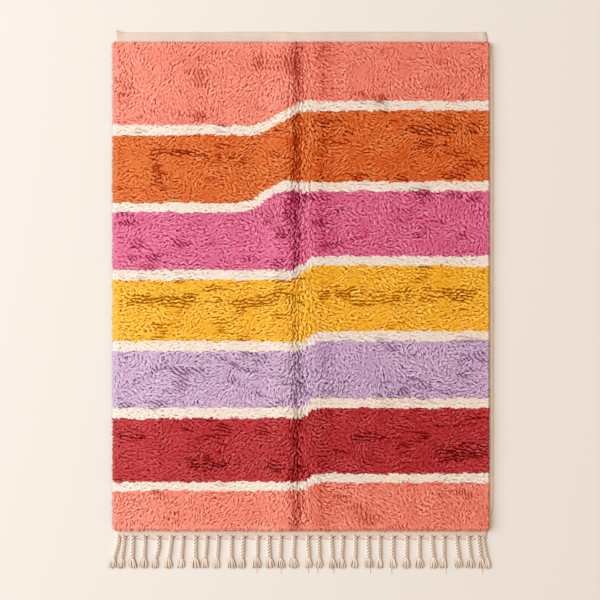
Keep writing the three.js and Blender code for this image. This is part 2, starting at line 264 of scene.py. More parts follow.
EDGE_SWAY = 2.5 * MM
EDGE_RAGGED = 3 * MM
PARTING_SWAY = 6 * MM
PARTING_FADE = 30 * MM
PARTING_FULL = 5
CREASE_SWAY = 5 * MM
FURROW_SWAY = 7 * MM
OPEN_BASE = 0.95
OPEN_PATCHES = 0.75
OPEN_SPECKS = 0.45
OPEN_CREASE = 1.2
OPEN_SECOND = 0.5
OPEN_PARTING = 1.6
MOST_OPEN = 3
TURN_FINER = 0.6
TURN_FINEST = 0.6
TURN_BESIDE = 0.75
TURN_AT_RIM = 0.75
CREASE_SWERVE = 0.55


def of_stripes(key):
    """One value of each stripe."""
    return np.array([stripe[key] for stripe in STRIPES])


YARN_OF_STRIPE = of_stripes("colour")
RELIEF_OF_STRIPE = of_stripes("relief")
CREASING_OF_STRIPE = of_stripes("creasing")


def stripe_edge(stripe, x):
    """The level of a stripe's lower edge."""
    step = smoothstep(x, stripe["start"] * MM, stripe["stop"] * MM)
    return (stripe["left"] + (stripe["right"] - stripe["left"]) * step) * MM


def stripe_number(x, level):
    """The number of the stripe that a knot belongs to: the edges are a knot or so uneven."""
    number = np.zeros(np.shape(x), int)
    for k, stripe in enumerate(STRIPES[:-1]):
        uneven = EDGE_SWAY * waver(x, 60, k, 41) + EDGE_RAGGED * waver(x, 14, k, 42)
        number += level > stripe_edge(stripe, x) + uneven
    return number


def edge_distance(x, level):
    """How far a place lies from the nearest edge of a stripe."""
    return np.min([np.abs(level - stripe_edge(s, x)) for s in STRIPES[:-1]], axis=0)


def rim_distance(x, level):
    """How far inside the pile's outline a place lies."""
    side = PILE_WIDTH / 2 - np.abs(x)
    end = np.minimum(level, PILE_LENGTH - level)
    return np.minimum(side, end)


def parting(x, level, half_width):
    """From 0 to 1, how much a place lies in one of the partings across the rug."""
    depth = np.zeros(np.shape(x))
    for k, (distance, start, stop, deep) in enumerate(PARTINGS):
        line = distance * MM + PARTING_SWAY * waver(x, 60, k, 60)
        begun = smoothstep(x, start * MM - PARTING_FADE, start * MM + PARTING_FADE)
        ended = smoothstep(x, stop * MM - PARTING_FADE, stop * MM + PARTING_FADE)
        broken = 0.75 + 0.5 * waver(x, 25, k, 61)
        share = deep / PARTING_FULL
        depth += share * (begun - ended) * broken * bell(level - line, half_width)
    return np.clip(depth, 0, 1)


def crease_line(level):
    """How far right of the middle the crease runs."""
    return CREASE_X + CREASE_SWAY * waver(level, 60, 0, 13)


def furrows(x, level):
    """From 0 to 1, how deep a place lies in the wavy furrows that run along the crease."""
    depth = np.zeros(np.shape(x))
    for k, (offset, half_width, deep) in enumerate(FURROWS):
        line = crease_line(level) + offset * MM
        line = line + FURROW_SWAY * waver(level, 26, k, 62)
        broken = np.clip(deep + 0.5 * waver(level, 45, k, 63), 0, 1)
        depth = np.maximum(depth, broken * bell(x - line, half_width * MM))
    return depth


def openness(x, level):
    """How far the pile is parted, which scales the shade painted down between the locks: 1 in most
    places.
    """
    fold = crease_line(level)
    main = OPEN_CREASE * bell(x - fold + 6 * MM, 36 * MM)
    second = OPEN_SECOND * bell(x - fold - 100 * MM, 34 * MM)
    patchy = OPEN_PATCHES * swells(x, level, 34, 26, 14)
    patchy = patchy + OPEN_SPECKS * swells(x, level, 12, 12, 15)
    opened = OPEN_BASE + patchy + main + second + OPEN_PARTING * parting(x, level, 12 * MM)
    return np.clip(opened, 0, MOST_OPEN)


def lengthwise(x, level):
    """From 0 to 1, how far the locks follow the crease."""
    return bell(x - crease_line(level) - 8 * MM, 62 * MM)


def blended(heading, x, y, share):
    """The heading turned by a share towards the direction x, y."""
    vx = np.cos(heading) * (1 - share) + x * share
    vy = np.sin(heading) * (1 - share) + y * share
    return np.arctan2(vy, vx)


def lock_heading(x, level, number):
    """The way the locks lie, in radians from +X."""
    lie = np.radians(of_stripes("lie"))[number]
    swirl = np.radians(of_stripes("swirl"))[number]
    heading = blended(lie, -np.cos(lie), np.sin(lie), smoothstep(x, -100 * MM, 100 * MM))
    turn = swells(x, level, 110, 110, 21) + TURN_FINER * swells(x, level, 45, 45, 22)
    heading = heading + swirl * turn + TURN_FINEST * swells(x, level, 22, 22, 25)
    beside = TURN_BESIDE * bell(edge_distance(x, level), 13 * MM)
    heading = blended(heading, np.sign(np.cos(heading)), 0, beside)
    sway = CREASE_SWERVE * swells(x, level, 28, 28, 23)
    heading = blended(heading, np.sin(sway), -np.cos(sway), lengthwise(x, level))
    side = PILE_WIDTH / 2 - np.abs(x)
    heading = blended(heading, np.sign(x), 0, TURN_AT_RIM * bell(side, 14 * MM))
    return blended(heading, 0, -1, TURN_AT_RIM * bell(PILE_LENGTH - level, 14 * MM))


# Maps: grids of values over the pile's whole face, worked out once and read by every lock

MAP_CELL = 1.5 * MM
RIM_ROUNDING = 12 * MM
RIM_DROP = 7 * MM
GAP_FLOOR = 0.1
LAID_SPACING = 6.7 * MM
LAID_LENGTH = 20 * MM
LAID_WIDTH = 7.7 * MM
LAID_WINDOW = 10
LAID_LENGTHS = (0.6, 1.3)
LAID_WIDTHS = (0.7, 1.3)
LAID_STRAY = 0.16
LAID_CURL = 16
LAID_RAISED = 0.25
LAID_TILT = 0.25
FACE_BELOW_TOP = 4.5 * MM
SWELL_HEIGHT = 1.4 * MM
RIDGE_HEIGHT = 1.6 * MM
PARTING_DROP = 2.5 * MM
LOCK_HEIGHT = 1.1 * MM
LOCK_FOOT = 0.8
FLAT_BACK = 1.3
HOLLOW_SPREAD = 5
HOLLOW_GAIN = 3
HOLLOW_MOST = 3
HOLLOW_POWER = 1.5
# Shade painted down between the locks, and the painted highlight on their backs
HOLLOW_SHADE = 3.2
BACK_PAINTED_LIGHT = 0.4
# The shade painted into the wrinkle lines, then their spacing, width, bends, sinking and patches
LINE_SHADE = 9
LINE_PITCH = 14 * MM
LINE_WIDTH = 1.9 * MM
LINE_BEND = 0.9
LINE_BEND_FINER = 0.3
LINE_DROP = 1.2 * MM
PATCHY_START = 0.5
PATCHY_STOP = 1.15
# The deepest painted shade in the pile
DEEPEST = 4.8
# Light and shade painted by how the slopes face the lamp, on the left and a little north
LIT_SLOPE = 0.8
LIT_FROM_NORTH = 0.2
STEEPEST = 0.8
# An even shift of the painted shade, a random mottle of tone, and the shade painted in the partings
BASE_DEPTH = 0.05
MOTTLE_DEPTH = 0.16
PARTING_SHADE = 0.4
# The painted highlight along the rim, and the palest painted highlight
RIM_PAINTED_LIGHT = 0.3
PALEST = 1.0
# Shade painted into the furrows, and how far they sink
FURROW_SHADE = 3.4
FURROW_DROP = 2.5 * MM


def map_places():
    """Where the maps' cells lie: x and level of each."""
    across = np.arange(-PILE_WIDTH / 2, PILE_WIDTH / 2 + MAP_CELL, MAP_CELL)
    along = np.arange(0, PILE_LENGTH + MAP_CELL, MAP_CELL)
    return np.meshgrid(across, along)


def read_map(grid, x, level):
    """A map's value at a place, blended from the four nearest cells."""
    rows, columns = grid.shape
    u = np.clip((x + PILE_WIDTH / 2) / MAP_CELL, 0, columns - 1.001)
    v = np.clip(level / MAP_CELL, 0, rows - 1.001)
    i = u.astype(int)
    j = v.astype(int)
    return between(grid.T, i, i + 1, j, j + 1, u - i, v - j)


def nearest(grid, x, level):
    """A map's value in the cell nearest to a place."""
    rows, columns = grid.shape
    i = np.clip(np.rint((x + PILE_WIDTH / 2) / MAP_CELL), 0, columns - 1).astype(int)
    j = np.clip(np.rint(level / MAP_CELL), 0, rows - 1).astype(int)
    return grid[j, i]


def blurred(grid, cells):
    """A map evened out over a few cells each way."""
    for axis in (0, 1):
        total = np.zeros(grid.shape)
        weights = 0
        for step in range(-2 * cells, 2 * cells + 1):
            weight = bell(step, cells)
            total += weight * np.roll(grid, step, axis)
            weights += weight
        grid = total / weights
    return grid


def lay_locks():
    """The locks of the pile's face on a jittered grid, with the yarn, lie and shape of each."""
    rng = np.random.default_rng(5)
    across = np.arange(-PILE_WIDTH / 2, PILE_WIDTH / 2, LAID_SPACING)
    along = np.arange(0, PILE_LENGTH, LAID_SPACING)
    x, level = np.meshgrid(across, along)
    x = x + LAID_SPACING * 0.5 * (np.arange(len(along))[:, None] % 2)
    x = (x + rng.uniform(-0.5, 0.5, x.shape) * LAID_SPACING).ravel()
    level = (level + rng.uniform(-0.5, 0.5, level.shape) * LAID_SPACING).ravel()
    count = len(x)
    stripe = stripe_number(x, level)
    heading = lock_heading(x, level, stripe) + rng.normal(0, LAID_STRAY, count)
    length = LAID_LENGTH * rng.uniform(*LAID_LENGTHS, count)
    width = LAID_WIDTH * rng.uniform(*LAID_WIDTHS, count)
    curl = rng.normal(0, LAID_CURL, count)
    raised = rng.normal(0, LAID_RAISED, count)
    return dict(x=x, level=level, stripe=stripe, heading=heading, length=length, width=width,
                curl=curl, raised=raised)


def overlap(locks):
    """Lays the locks over one another: how high each cell's topmost lock lies there, from about
    1 along its back down to 0 and less between two locks, and which lock it is."""
    top = np.full(MAP_X.shape, -9.0)
    owner = np.zeros(MAP_X.shape, int)
    rows, columns = top.shape
    column = np.rint((locks["x"] + PILE_WIDTH / 2) / MAP_CELL).astype(int)
    row = np.rint(locks["level"] / MAP_CELL).astype(int)
    cosine = np.cos(locks["heading"])
    sine = np.sin(locks["heading"])
    window = range(-LAID_WINDOW, LAID_WINDOW + 1)
    for down in window:
        for right in window:
            i = np.clip(column + right, 0, columns - 1)
            j = np.clip(row + down, 0, rows - 1)
            dx = MAP_X[j, i] - locks["x"]
            dy = locks["level"] - MAP_LEVEL[j, i]
            along = 2 * (dx * cosine + dy * sine) / locks["length"]
            bend = locks["curl"] * (along * locks["length"] / 2) ** 2
            aside = 2 * (dy * cosine - dx * sine - bend) / locks["width"]
            height = 1 + locks["raised"] + LAID_TILT * along - along ** 4 - aside ** 2
            better = height > top[j, i]
            top[j[better], i[better]] = height[better]
            owner[j[better], i[better]] = np.flatnonzero(better)
    return np.maximum(top, GAP_FLOOR), owner


def pile_height(x, level):
    """The height of the pile's face: broad swells, and the locks and hollows in it."""
    height = PILE_TOP - FACE_BELOW_TOP + SWELL_HEIGHT * swells(x, level, 90, 90, 11)
    locks = LOCK_HEIGHT * (np.minimum(TOP_MAP, FLAT_BACK) - LOCK_FOOT) - LINE_DROP * LINE_MAP
    height = height + locks * RELIEF_MAP
    height = height + RIDGE_HEIGHT * lengthwise(x, level) * swells(x, level, 9, 60, 17)
    height = height - CREASE_DEPTH * bell(x - crease_line(level), CREASE_HALF_WIDTH)
    height = height - PARTING_DROP * parting(x, level, 7 * MM) - FURROW_DROP * furrows(x, level)
    shoulder = np.clip(rim_distance(x, level) / RIM_ROUNDING, 0, 1)
    return height - RIM_DROP * (1 - np.sqrt(1 - (1 - shoulder) ** 2))


def wrinkle_lines(x, level):
    """Long thin lines, in patches and beside the partings, where the pile folds apart, and where
    shade is painted into the colour.
    """
    across = of_stripes("across")[STRIPE_MAP]
    rows = (level * across - x * (1 - across)) / (LINE_PITCH * np.hypot(across, 1 - across))
    rows = rows + LINE_BEND * swells(x, level, 75, 45, 72)
    rows = rows + LINE_BEND_FINER * swells(x, level, 22, 22, 73)
    down, right = np.gradient(rows, MAP_CELL)
    steep = np.hypot(down, right)
    line = bell((rows - np.rint(rows)) / steep, LINE_WIDTH)
    line = line * smoothstep(steep * LINE_PITCH, 0.35, 0.8)
    patchy = swells(x, level, 80, 45, 18)
    patchy = patchy + 1.8 * parting(x, level, 24 * MM) + 0.7 * swells(x, level, 45, 11, 76)
    return line * smoothstep(patchy, PATCHY_START, PATCHY_STOP)


def light_across(x, level, creasing):
    """Painted light and shade by where the locks lean to the light: paler left of the crease and
    deeper right of it, with shade painted in the crease.
    """
    fold = x - crease_line(level)
    depth = LEAN_SHADE * smoothstep(fold, -LEAN_FADE, LEAN_FADE)
    for offset, half_width, deep in SHADED_BANDS:
        depth = depth + deep * bell(fold - offset * MM, half_width * MM)
    for offset, half_width, deep in CREASE_BANDS:
        depth = depth + creasing * (deep * bell(fold - offset * MM, half_width * MM))
    return depth


def hollows():
    """Painted shade, above 0, down between locks, to 1 and more, and a painted highlight, below 0,
    on their backs.
    """
    backs = np.minimum(TOP_MAP, FLAT_BACK)
    below = HOLLOW_GAIN * (blurred(backs, HOLLOW_SPREAD) - backs)
    hollow = np.minimum(np.abs(below) ** HOLLOW_POWER, HOLLOW_MOST)
    return np.where(below > 0, hollow, BACK_PAINTED_LIGHT * below)


def pile_shade_and_mottle(x, level):
    """How much shade is painted into a place's colour, with a random mottle: below 0, a painted
    highlight on the backs of locks, and up to DEEPEST between.
    """
    # Painted shade down between the locks, as far as the pile is parted
    hollow = HOLLOW_SHADE * HOLLOW_MAP * openness(x, level)
    # Add the shade painted in the wrinkle lines and an even shift, all as strong as the yarn's
    # relief
    depth = (hollow + BASE_DEPTH + LINE_SHADE * LINE_MAP) * RELIEF_MAP
    # A random mottle of tone
    depth = depth + MOTTLE_DEPTH * swells(x, level, 40, 40, 19)
    # Painted shade in the furrows along the crease, stronger down between the locks
    furrow = FURROW_SHADE * furrows(x, level) * np.clip(0.5 + 0.8 * HOLLOW_MAP, 0, 1.5)
    depth = depth + furrow * CREASING_MAP
    # Painted shade in the partings
    depth = depth + PARTING_SHADE * parting(x, level, 5 * MM)
    # A painted highlight along the rim, and the painted light and shade of where the locks lean
    rim = bell(rim_distance(x, level), 14 * MM)
    depth = depth + light_across(x, level, CREASING_MAP) - RIM_PAINTED_LIGHT * rim
    # Painted light on slopes that face the lamp, on the left and a little north, and painted shade
    # on those that face away
    down, right = np.gradient(HEIGHT_MAP, MAP_CELL)
    slope = np.clip(right + LIT_FROM_NORTH * down, -STEEPEST, STEEPEST)
    depth = depth - LIT_SLOPE * RELIEF_MAP * slope
    return np.where(depth > 0, DEEPEST * np.tanh(depth / DEEPEST), PALEST * np.tanh(depth / PALEST))


MAP_X, MAP_LEVEL = map_places()
LOCKS = lay_locks()
TOP_MAP, OWNER_MAP = overlap(LOCKS)
STRIPE_MAP = LOCKS["stripe"][OWNER_MAP]
RELIEF_MAP = RELIEF_OF_STRIPE[STRIPE_MAP]
CREASING_MAP = CREASING_OF_STRIPE[STRIPE_MAP]
LINE_MAP = wrinkle_lines(MAP_X, MAP_LEVEL)
HOLLOW_MAP = hollows()
HEIGHT_MAP = pile_height(MAP_X, MAP_LEVEL)
SHADE_AND_MOTTLE_MAP = pile_shade_and_mottle(MAP_X, MAP_LEVEL)


# The locks: each is a pointed roof of wool with a hidden root, a ridge along its back and a tip

# The five points of a lock, root, left, right, back and tip: where each lies in the lock's own
# texture, and the triangles between them
LOCK_PLACES = np.array([(0.5, 0), (0, 0.5), (1, 0.5), (0.5, 0.5), (0.5, 1)])
LOCK_FACES = np.array([(0, 3, 1), (0, 2, 3), (4, 1, 3), (4, 3, 2)])
POINTS_A_LOCK = len(LOCK_PLACES)

LOOSE_FROM = 0.2
LOOSE_INSET = 16 * MM
LOOSE_LENGTH = 0.8
LOOSE_WIDTH = 0.6
LOCK_SINK = 3 * MM
LOCK_RISE = 0.8 * MM
BELLY_DROP = 0.9 * MM
TIP_DROP = 1.2 * MM
ROOT_BACK = 0.45
# Shade painted at a lock's root, left, right, back and tip: at the root and sides, with a painted
# highlight along the back
LOCK_PAINTED_SHADES = np.array([0.2, 0.35, 0.35, -0.15, 0.0])
TONE_STRAY = 0.035
HUE_STRAY = 0.015
SKIRT_SPACING = 4 * MM
SKIRT_NORTH = 5 * MM
SKIRT_SOUTH = 4.5 * MM
# How much paler the skirt is painted, as painted light against the shade on the rim
SKIRT_PAINTED_LIGHT = 0.35
SKIRT_SHIFT = 2
SKIRT_STRAY = 0.35
SKIRT_CURL = 18
SKIRT_LENGTHS = (0.58, 1.24)
SKIRT_WIDTHS = (0.8, 1.2)
SKIRT_ROOT_DROP = 3 * MM
SKIRT_SIDE_DROP = 1.5 * MM

# The skirt's layers, in millimetres: how far inside the rim its locks grow, their length, their
# length at the right side, their width, and the heights of their roots and tips
SKIRT_LAYERS = MM * np.array([
    (27, 21, 20.5, 8, 24, 19),
    (20, 19, 15, 8, 23.5, 13),
    (13, 14, 8, 7, 15, 6),
    (9, 12.5, 4.5, 5, 8, 1),
])


def lock_plan(x, level, heading, curl, length, width):
    """Where the five points of each lock lie round its middle: root, left, right, back and tip."""
    along = length[:, None] * (-ROOT_BACK, 0, 0, 0, 0.5)
    aside = curl[:, None] * along ** 2 + width[:, None] * (0, 0.5, -0.5, 0, 0)
    cosine = np.cos(heading)[:, None]
    sine = np.sin(heading)[:, None]
    xs = x[:, None] + along * cosine - aside * sine
    levels = level[:, None] - along * sine - aside * cosine
    return xs, levels


def finished_locks(rng, number, xs, levels, heights, depths):
    """The locks' points and colours: painted shade at the root and sides, a painted highlight along
    the back, and a random tone for each lock.
    """
    count = len(number)
    tone = 1 + rng.normal(0, TONE_STRAY, (count, 1, 1)) + rng.normal(0, HUE_STRAY, (count, 1, 3))
    depths = depths + RELIEF_OF_STRIPE[number][:, None] * LOCK_PAINTED_SHADES
    colours = painted_light_and_shade(YARN_OF_STRIPE[number][:, None, :], depths[:, :, None]) * tone
    return np.stack([xs, PILE_NORTH - levels, heights], 2), colours, number


def field_locks():
    """The loosest locks of the pile's face, which stand a little above the others."""
    inside = rim_distance(LOCKS["x"], LOCKS["level"]) > LOOSE_INSET
    mine = np.flatnonzero((LOCKS["raised"] > LOOSE_FROM) & inside)
    loose = {key: values[mine] for key, values in LOCKS.items()}
    loose["length"] = LOOSE_LENGTH * loose["length"]
    loose["width"] = LOOSE_WIDTH * loose["width"]
    plan = [loose[key] for key in ("x", "level", "heading", "curl", "length", "width")]
    xs, levels = lock_plan(*plan)
    number = loose["stripe"]
    drops = np.array([LOCK_SINK, BELLY_DROP, BELLY_DROP, 0, TIP_DROP])
    raised = (LOCK_RISE - drops) * RELIEF_OF_STRIPE[number][:, None]
    heights = read_map(HEIGHT_MAP, xs, levels) + raised
    # The painted shade and highlight of the map, where each point lies
    depths = read_map(SHADE_AND_MOTTLE_MAP, xs, levels)
    return finished_locks(np.random.default_rng(5), number, xs, levels, heights, depths)


def skirt_layers():
    """The skirt's locks before chance moves them: the root, direction and sizes of each."""
    every = []
    for inset, length, right, width, start, tip in SKIRT_LAYERS:
        half = PILE_WIDTH / 2 - inset
        across = np.arange(-half, half, SKIRT_SPACING)
        along = np.arange(inset, PILE_LENGTH - inset, SKIRT_SPACING)
        low = np.full(len(across), inset)
        left = np.full(len(along), -half)
        x = np.concatenate([across, -left, across, left])
        level = np.concatenate([low, along, PILE_LENGTH - low, along])
        out = np.repeat([90, 0, 270, 180], [len(across), len(along), len(across), len(along)])
        lengths = np.where(out == 0, right, length)
        lengths += np.select([out == 90, out == 270], [-SKIRT_NORTH, SKIRT_SOUTH])
        others = [np.full(len(x), size) for size in (width, start, tip)]
        every.append([x, level, np.radians(out), lengths] + others)
    return np.concatenate(every, axis=1)


def skirt_locks():
    """Short locks that hang outward all round the pile's rim, layer under layer."""
    rng = np.random.default_rng(8)
    x, level, heading, length, width, start, tip = skirt_layers()
    count = len(x)
    x = x + rng.uniform(-SKIRT_SHIFT, SKIRT_SHIFT, count) * MM
    level = level + rng.uniform(-SKIRT_SHIFT, SKIRT_SHIFT, count) * MM
    heading = heading + rng.normal(0, SKIRT_STRAY, count)
    length = length * rng.uniform(*SKIRT_LENGTHS, count)
    width = width * rng.uniform(*SKIRT_WIDTHS, count)
    x = x + ROOT_BACK * length * np.cos(heading)
    level = level - ROOT_BACK * length * np.sin(heading)
    xs, levels = lock_plan(x, level, heading, rng.normal(0, SKIRT_CURL, count), length, width)
    start = start + rng.normal(0, 1 * MM, count)
    tip = tip + rng.normal(0, 0.8 * MM, count)
    belly = start * 0.85 + tip * 0.15
    side = belly - SKIRT_SIDE_DROP
    heights = np.stack([start - SKIRT_ROOT_DROP, side, side, belly, tip], 1)
    heights = np.maximum(heights, 0.2 * MM)
    number = nearest(STRIPE_MAP, x, level)
    # The skirt's colour: the painted light and shade of where the locks lean, and painted light
    # that makes it paler all over
    lean = light_across(x, level, CREASING_OF_STRIPE[number])
    depths = np.repeat(lean[:, None] - SKIRT_PAINTED_LIGHT, POINTS_A_LOCK, axis=1)
    return finished_locks(rng, number, xs, levels, heights, depths)


def mark_fibres(piece, count):
    """Stores where each point lies on its lock, for the fibres in the wool's material."""
    strand = np.zeros((count, POINTS_A_LOCK, 3), np.float32)
    strand[:, :, :2] = LOCK_PLACES * (2, 1) - (1, 0)
    strand[:, :, 2] = np.arange(count)[:, None]
    layer = piece.data.attributes.new("strand", "FLOAT_VECTOR", "POINT")
    layer.data.foreach_set("vector", strand.ravel())


def make_locks():
    """One piece for each stripe."""
    both = zip(field_locks(), skirt_locks())
    points, colours, number = [np.concatenate(arrays) for arrays in both]
    points[:, :, 0] += CENTRE_X
    pieces = []
    for k, stripe in enumerate(STRIPES):
        mine = np.flatnonzero(number == k)
        wide = math.ceil(math.sqrt(len(mine)))
        order = np.arange(len(mine))[:, None, None]
        faces = (LOCK_FACES + POINTS_A_LOCK * order).reshape(-1, 3)
        uv = in_cell(LOCK_PLACES[LOCK_FACES], order, wide)
        name = f"locks_{k + 1:02d}_{stripe['yarn']}"
        piece = mesh_object(name, points[mine].reshape(-1, 3), faces, uv)
        paint(piece, colours[mine].reshape(-1, 3))
        mark_fibres(piece, len(mine))
        pieces.append(piece)
    return pieces


# Slabs: a grid of points with a flat underside and walls between them

def slab(name, top, bottom):
    """A closed slab between two grids of points, numbered row by row."""
    points = np.concatenate([top.reshape(-1, 3), bottom.reshape(-1, 3)])
    number, upper = grid_quads(*top.shape[:2])
    lower = upper[:, (0, 3, 2, 1)] + number.size
    rim = np.concatenate([number[0, :-1], number[:-1, -1], number[-1, :0:-1], number[:0:-1, 0]])
    after = np.roll(rim, -1)
    wall = np.stack([rim + number.size, after + number.size, after, rim], 1)
    faces = np.concatenate([upper, lower, wall])
    return mesh_object(name, points, faces, slab_uv(points, upper, lower, len(rim)))


def slab_uv(points, upper, lower, rim):
    """The top fills most of the texture, the underside a corner and the walls a strip."""
    low = points.min(axis=0)[:2]
    span = np.ptp(points, axis=0)[:2]
    flat = (points[:, :2] - low) / span
    over = flat[upper] * (1, 0.85)
    under = flat[lower] * (1, 0.08) + (0, 0.87)
    step = 1 / rim
    start = np.stack([np.arange(rim) / rim, np.zeros(rim)], 1)[:, None]
    walls = start + [(0, 0.96), (step, 0.96), (step, 0.99), (0, 0.99)]
    return np.concatenate([over, under, walls])


# The pile's face: a finely wrinkled skin of wool under the locks, one piece for each stripe

FACE_CELL = 2.9 * MM
FACE_INSET = 7 * MM
FACE_JITTER = 0.2
FACE_FOOT = GROUND_THICKNESS + 0.5 * MM


def face_grid():
    """The points of the whole face, whose outermost ring comes down to the ground."""
    rng = np.random.default_rng(6)
    half = PILE_WIDTH / 2 - FACE_INSET
    across = np.linspace(-half, half, int(PILE_WIDTH / FACE_CELL))
    along = np.linspace(PILE_LENGTH - FACE_INSET, FACE_INSET, int(PILE_LENGTH / FACE_CELL))
    x, level = np.meshgrid(across, along)
    inside = np.zeros(x.shape)
    inside[1:-1, 1:-1] = 1
    x = x + rng.uniform(-FACE_JITTER, FACE_JITTER, x.shape) * FACE_CELL * inside
    level = level + rng.uniform(-FACE_JITTER, FACE_JITTER, x.shape) * FACE_CELL * inside
    z = np.where(inside > 0, read_map(HEIGHT_MAP, x, level), FACE_FOOT)
    return x, level, z


def make_face():
    x, level, z = face_grid()
    points = np.stack([x + CENTRE_X, PILE_NORTH - level, z], -1).reshape(-1, 3)
    depths = read_map(SHADE_AND_MOTTLE_MAP, x, level).ravel()
    quads = grid_quads(*x.shape)[1]
    stripe = nearest(STRIPE_MAP, x.ravel()[quads].mean(axis=1), level.ravel()[quads].mean(axis=1))
    pieces = []
    for k, yarn in enumerate(YARN_OF_STRIPE):
        used, faces = np.unique(quads[stripe == k], return_inverse=True)
        faces = faces.reshape(-1, 4)
        mine = points[used]
        flat = (mine[:, :2] - mine[:, :2].min(axis=0)) / np.ptp(mine[:, :2], axis=0)
        name = f"pile_{k + 1:02d}_{STRIPES[k]['yarn']}"
        piece = mesh_object(name, mine, faces, flat[faces])
        # The face's colour, with the painted shade and highlight of the map
        paint(piece, painted_light_and_shade(yarn, depths[used][:, None]))
        pieces.append(piece)
    return pieces


# The ground: one woven cloth, plain at both ends, with its upper left corner curled up

GROUND_CELL = 6 * MM
HIDDEN_CELL = 80 * MM
UNDER_PILE = 20 * MM
CLOTH_YARN = np.array((0.74, 0.61, 0.515))
SWAG = 9 * MM
SWAG_PITCH = 45 * MM
SINK = 8 * MM
TOP_WAVE = 1.5 * MM
CORNER_LIFT = 6 * MM
CORNER_DRAW = 4 * MM
CORNER_HALF_WIDTH = 26 * MM
CORNER_POINT = 12 * MM
# Painted shade on the curled-up corner, and painted light on the cloth's left side, towards the
# lamp
CORNER_SHADE = 0.25
LEFT_PAINTED_LIGHT = 0.04
RIGHT_SLANT = 9 * MM
LOWER_TAPER = 6 * MM
THIN_EDGE = 8 * MM

# The folds in the plain end, in millimetres: how far right of the middle, height and half width
TOP_FOLDS = MM * np.array([(715, 2.2, 9), (-55, 1.2, 14)])

# The bound edge that shows beside the pile on the right, in a paler yarn: painted light that lifts
# the shade the pile casts there
SELVEDGE_INSIDE = 24 * MM
SELVEDGE_REACH = 22 * MM
SELVEDGE_RISE = 7 * MM
SELVEDGE_HALF_WIDTH = 9 * MM
SELVEDGE_YARN = np.array((0.94, 0.84, 0.76))


def cords_south_edge(x):
    """The woven end's lower edge: past each cord it jumps up, and sinks again to the next cord."""
    roots = np.array([cord["root"] for cord in CORDS]) * MM
    k = np.clip(np.searchsorted(roots, x) - 1, 0, len(roots) - 2)
    t = np.clip((x - roots[k]) / (roots[k + 1] - roots[k]), 0, 1)
    gap = roots[k + 1] - roots[k]
    return GROUND_SOUTH - SINK + SWAG * np.minimum(gap / SWAG_PITCH, 1) * (1 - t) ** 1.3


def ground_grid():
    """The cloth's cells: small ones at the two ends that show, long ones under the pile."""
    across = np.linspace(-GROUND_WIDTH / 2, GROUND_WIDTH / 2, int(GROUND_WIDTH / GROUND_CELL))
    south = np.arange(0, FRINGED_END + UNDER_PILE, GROUND_CELL) + GROUND_SOUTH
    north = np.arange(0, PLAIN_END + UNDER_PILE, GROUND_CELL) + PILE_NORTH - UNDER_PILE
    hidden = np.linspace(south[-1], north[0], int(PILE_LENGTH / HIDDEN_CELL))
    return np.meshgrid(across, np.concatenate([south, hidden[1:-1], north]))


def make_ground():
    half = GROUND_WIDTH / 2
    x, y = ground_grid()
    end = smoothstep(y, PILE_SOUTH, GROUND_SOUTH)
    y = y + end * (cords_south_edge(x) - GROUND_SOUTH)
    top_end = smoothstep(y, PILE_NORTH, GROUND_NORTH)
    y = y + top_end * TOP_WAVE * waver(x, 120, 0, 81)
    corner = top_end * bell(x + half, CORNER_HALF_WIDTH)
    y = y + CORNER_TIP * corner * bell(x + half, CORNER_POINT)
    x = x + CORNER_DRAW * corner - RIGHT_SLANT * top_end * bell(x - half, 40 * MM)
    x = x - end * LOWER_TAPER * (x / half) ** 9
    beside_pile = smoothstep(y, PILE_SOUTH, PILE_SOUTH + 2 * UNDER_PILE)
    beside_pile = beside_pile * smoothstep(y, PILE_NORTH, PILE_NORTH - 2 * UNDER_PILE)
    selvedge = beside_pile * smoothstep(x, half - SELVEDGE_INSIDE, half)
    x = x + SELVEDGE_REACH * selvedge
    fold = sum(height * bell(x - place, wide) for place, height, wide in TOP_FOLDS)
    inner = 0.5 + 0.5 * smoothstep(half - np.abs(x), 0, THIN_EDGE)
    z = GROUND_THICKNESS * inner + 0.5 * MM * swells(x, y, 45, 20, 82) + top_end * fold
    z = z + SELVEDGE_RISE * beside_pile * bell(x - half - SELVEDGE_REACH / 2, SELVEDGE_HALF_WIDTH)
    lift = CORNER_LIFT * corner
    bottom_z = lift + np.clip(top_end * fold - 0.5 * MM, 0, 1)
    top = np.stack([x + CENTRE_X, y, z + lift], -1)
    bottom = np.stack([x + CENTRE_X, y, bottom_z], -1)
    cloth = slab("ground_cloth", top, bottom)
    # Painted shade on the curled-up corner, and painted light fading from the cloth's left side
    shade = 1 - CORNER_SHADE * top_end * bell(x + half - 4 * MM, 10 * MM)
    shade = shade + LEFT_PAINTED_LIGHT * bell(x + half, 600 * MM)
    colours = CLOTH_YARN * shade.reshape(-1, 1)
    # The bound edge's paler yarn: painted light beside the pile
    colours = colours + selvedge.reshape(-1, 1) * (SELVEDGE_YARN - CLOTH_YARN)
    paint(cloth, np.concatenate([colours, colours]))
    return cloth


# The fringe: each cord is two plies twisted together, and its ends part into a tassel

PLY_RADIUS = 4.0 * MM
PLY_OFFSET = (3.9 * MM, 2.5 * MM)
TWIST_PITCH = 21.4 * MM
CORD_STEP = 1.8 * MM
TWIST_STRAY = (0.92, 1.12)
CORD_STRAY = (0.95, 1.05)
PLY_SIDES = 10
CORD_HEIGHT = 5.2 * MM
CORD_ON_CLOTH = 6 * MM
CORD_WOBBLE = 1.2 * MM
THICKEST_CORD = 1.07
THINNER_RIGHT = 0.1
# Shade painted into the grooves between the plies: full within GROOVE_FROM of the cord's middle,
# gone by GROOVE_TO; PLY_PALE makes the whole ply paler
GROOVE_SHADE = 2.8
GROOVE_FROM = 4.9 * MM
GROOVE_TO = 6.6 * MM
PLY_PALE = 0.5
